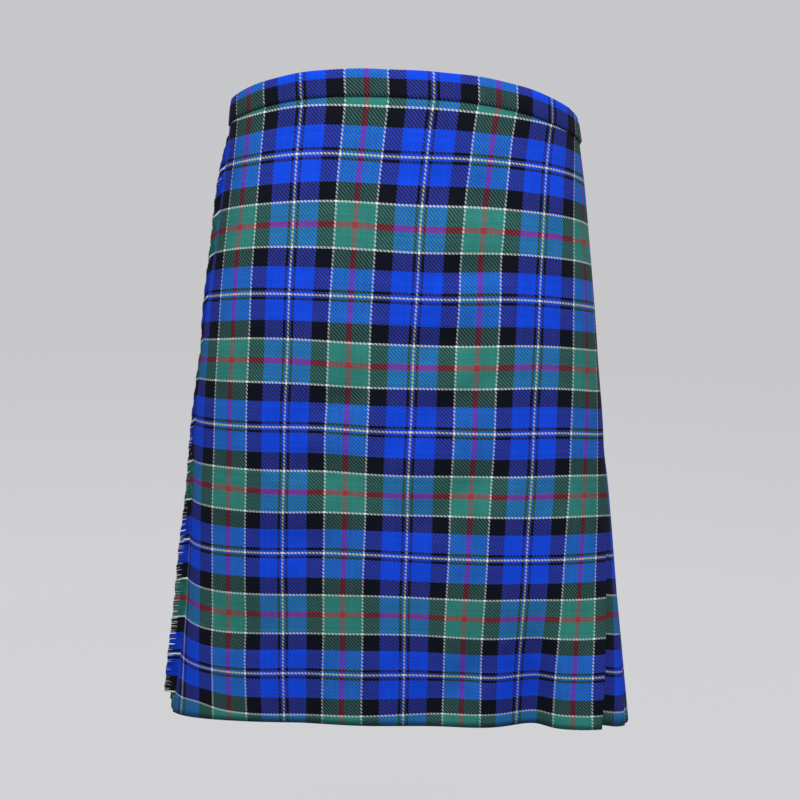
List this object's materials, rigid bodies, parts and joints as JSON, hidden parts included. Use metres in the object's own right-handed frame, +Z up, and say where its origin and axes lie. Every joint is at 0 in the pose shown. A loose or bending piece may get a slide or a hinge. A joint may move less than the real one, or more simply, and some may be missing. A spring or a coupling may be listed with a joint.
{
  "type": "kilt",
  "caption": "Knee-length wrap kilt in blue and green tartan twill, as worn, with pleated back, fringed over-apron, waistband and hip straps",
  "frame": {"origin": "middle of the waist opening, level with the upper edge of the waistband in front, where the wearer's waist holds the kilt", "axes": "+Z up; the wearer faces -Y; +X is the wearer's left hip, where the over-apron is folded and the pleats begin"},
  "size_m": [0.4677, 0.2804, 0.6271],
  "materials": {
    "tartan_cloth": "woven wool twill, matt",
    "tartan_band": "woven wool twill, matt",
    "fringe_thread": "loose wool weft",
    "strap_leather": "black, half matt",
    "buckle_metal": "plated, polished"
  },
  "bodies": {
    "root": {"over_apron": "tartan_cloth", "pleats_left": "tartan_cloth", "pleats_right": "tartan_cloth", "under_apron": "tartan_cloth", "band_front": "tartan_band", "band_back": "tartan_band", "band_under": "tartan_band", "fringe": "fringe_thread", "strap_left": "strap_leather", "tab_left": "strap_leather", "buckle_left": "buckle_metal", "prong_left": "buckle_metal", "strap_right": "strap_leather", "tab_right": "strap_leather", "buckle_right": "buckle_metal", "prong_right": "buckle_metal"}
  },
  "joints": []
}
